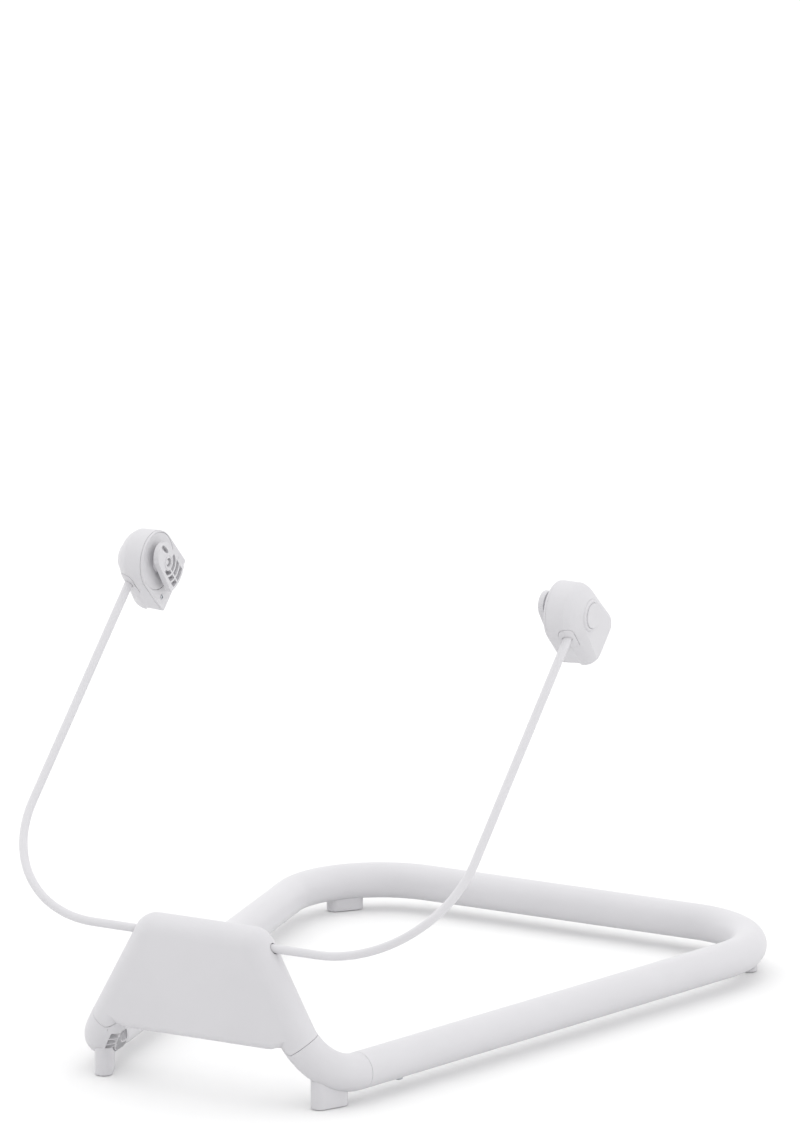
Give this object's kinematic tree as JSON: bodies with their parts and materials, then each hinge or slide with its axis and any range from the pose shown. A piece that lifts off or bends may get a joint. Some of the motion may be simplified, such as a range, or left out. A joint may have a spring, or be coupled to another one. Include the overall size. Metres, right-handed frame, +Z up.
{
  "type": "baby bouncer stand",
  "caption": "Bent tube floor frame with a moulded housing that carries a U-shaped spring rod, its tips in hubs with a turning seat adapter and a push button.",
  "frame": {"origin": "on the floor, in the middle of the overall length and width", "axes": "+X to the right as seen from the housing end, +Y from the housing to the rear tube, +Z up"},
  "size_m": [0.566, 0.7734, 0.4901],
  "materials": {
    "coated_tube": "white powder coat, satin",
    "coated_rod": "white powder coat, satin",
    "frame_plastic": "moulded, fine satin texture",
    "hub_plastic": "moulded, fine satin texture",
    "plated_steel": "bright zinc plate",
    "pad_rubber": "matte light grey"
  },
  "bodies": {
    "base": {"rear_tube": "coated_tube", "elbow_right": "frame_plastic", "elbow_left": "frame_plastic", "snap_spring_right": "plated_steel", "snap_spring_left": "plated_steel", "foot_front_right": "frame_plastic", "foot_front_left": "frame_plastic", "foot_rear_right": "frame_plastic", "foot_rear_left": "frame_plastic", "foot_pad_front_right": "pad_rubber", "foot_pad_front_left": "pad_rubber", "foot_pad_rear_right": "pad_rubber", "foot_pad_rear_left": "pad_rubber", "housing": "frame_plastic", "housing_cover": "frame_plastic", "cover_screw_upper_right": "plated_steel", "cover_screw_upper_left": "plated_steel", "cover_screw_lower_right": "plated_steel", "cover_screw_lower_left": "plated_steel", "rod_clamp_right": "frame_plastic", "rod_clamp_left": "frame_plastic", "clamp_screw_right": "plated_steel", "clamp_screw_left": "plated_steel"},
    "rod": {"spring_rod": "coated_rod", "hub_shell_right": "hub_plastic", "hub_shell_left": "hub_plastic", "hub_cover_right": "hub_plastic", "hub_cover_left": "hub_plastic", "rod_collar_right": "hub_plastic", "rod_collar_left": "hub_plastic", "rod_pin_right": "plated_steel", "rod_pin_left": "plated_steel", "hub_screw_low_right": "plated_steel", "hub_screw_low_left": "plated_steel", "hub_screw_high_right": "plated_steel", "hub_screw_high_left": "plated_steel", "detent_spring_right": "plated_steel", "detent_spring_left": "plated_steel", "button_spring_right": "plated_steel", "button_spring_left": "plated_steel"},
    "adapter_right": {"seat_adapter_right": "hub_plastic", "retaining_ring_right": "plated_steel"},
    "adapter_left": {"seat_adapter_left": "hub_plastic", "retaining_ring_left": "plated_steel"},
    "button_right": {"release_button_right": "hub_plastic"},
    "button_left": {"release_button_left": "hub_plastic"},
    "snap_right": {"snap_button_right": "plated_steel"},
    "snap_left": {"snap_button_left": "plated_steel"}
  },
  "joints": [
    {"name": "rod_bounce", "type": "hinge", "parent": "base", "child": "rod", "pos_m": [0, -0.36769, 0.1596], "axis": [1, 0, 0], "range_deg": [-10, 5], "stiffness_Nm_per_rad": 150, "springref_deg": 0.57},
    {"name": "adapter_right_recline", "type": "hinge", "parent": "rod", "child": "adapter_right", "pos_m": [0.233, -0.06939, 0.45894], "axis": [1, 0, 0], "range_deg": [-24, 24]},
    {"name": "adapter_left_recline", "type": "hinge", "parent": "rod", "child": "adapter_left", "pos_m": [-0.233, -0.06939, 0.45894], "axis": [1, 0, 0], "range_deg": [-24, 24]},
    {"name": "button_right_press", "type": "slide", "parent": "rod", "child": "button_right", "axis": [-1, 0, 0], "range_m": [0, 0.0028], "stiffness_N_per_m": 900, "springref_m": -0.0008, "deforming": ["button_spring_right"]},
    {"name": "button_left_press", "type": "slide", "parent": "rod", "child": "button_left", "axis": [1, 0, 0], "range_m": [0, 0.0028], "stiffness_N_per_m": 900, "springref_m": -0.0008, "deforming": ["button_spring_left"]},
    {"name": "snap_right_press", "type": "slide", "parent": "base", "child": "snap_right", "axis": [0, 0, 1], "range_m": [0, 0.003], "stiffness_N_per_m": 600, "springref_m": -0.001, "deforming": ["snap_spring_right"]},
    {"name": "snap_left_press", "type": "slide", "parent": "base", "child": "snap_left", "axis": [0, 0, 1], "range_m": [0, 0.003], "stiffness_N_per_m": 600, "springref_m": -0.001, "deforming": ["snap_spring_left"]}
  ]
}
